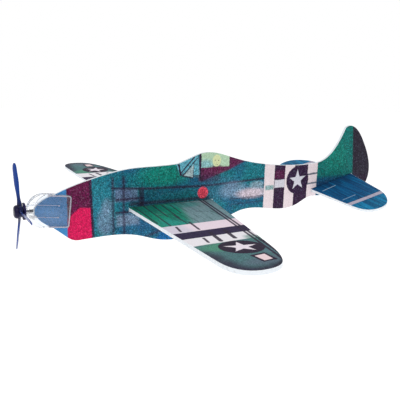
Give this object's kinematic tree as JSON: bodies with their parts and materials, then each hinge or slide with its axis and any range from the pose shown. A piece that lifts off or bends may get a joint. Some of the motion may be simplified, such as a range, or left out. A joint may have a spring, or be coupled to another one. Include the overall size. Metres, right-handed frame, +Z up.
{
  "type": "toy airplane",
  "caption": "Slot-together foam-sheet toy glider of a propeller fighter, with a clear clip-on nose that carries a free-spinning three-blade propeller.",
  "frame": {"origin": "under the middle of the overall length, on the centre plane, level with the belly's lowest point", "axes": "+X to the tail, +Y to the starboard side, +Z up"},
  "size_m": [0.1946, 0.1972, 0.0511],
  "materials": {
    "printed_foam": "matte expanded polystyrene sheet with printed colours and plain white edges",
    "clear_plastic": "clear, thin, glossy moulding",
    "pin_steel": "drawn wire",
    "navy_plastic": "glossy navy-blue moulding"
  },
  "bodies": {
    "airframe": {"fuselage": "printed_foam"},
    "wing": {"main_wing": "printed_foam"},
    "tail": {"tailplane": "printed_foam"},
    "nose": {"nose_clip": "clear_plastic", "propeller_pin": "pin_steel", "thrust_washer": "navy_plastic", "front_cap": "navy_plastic"},
    "propeller": {"propeller": "navy_plastic"}
  },
  "joints": [
    {"name": "propeller_spin", "type": "hinge", "parent": "nose", "child": "propeller", "pos_m": [-0.09471, -0.00007, 0.02017], "axis": [-0.999, -0.0305, 0.0314], "continuous": true},
    {"name": "nose_clip_pull", "type": "slide", "parent": "airframe", "child": "nose", "axis": [-0.9925, 0, 0.1219], "range_m": [0, 0.02]},
    {"name": "wing_trim", "type": "slide", "parent": "airframe", "child": "wing", "axis": [0, 1, 0], "range_m": [-0.003, 0.003]},
    {"name": "tailplane_pull", "type": "slide", "parent": "airframe", "child": "tail", "axis": [-0.0391, 0.9848, 0.1692], "range_m": [-0.003, 0.04]}
  ]
}
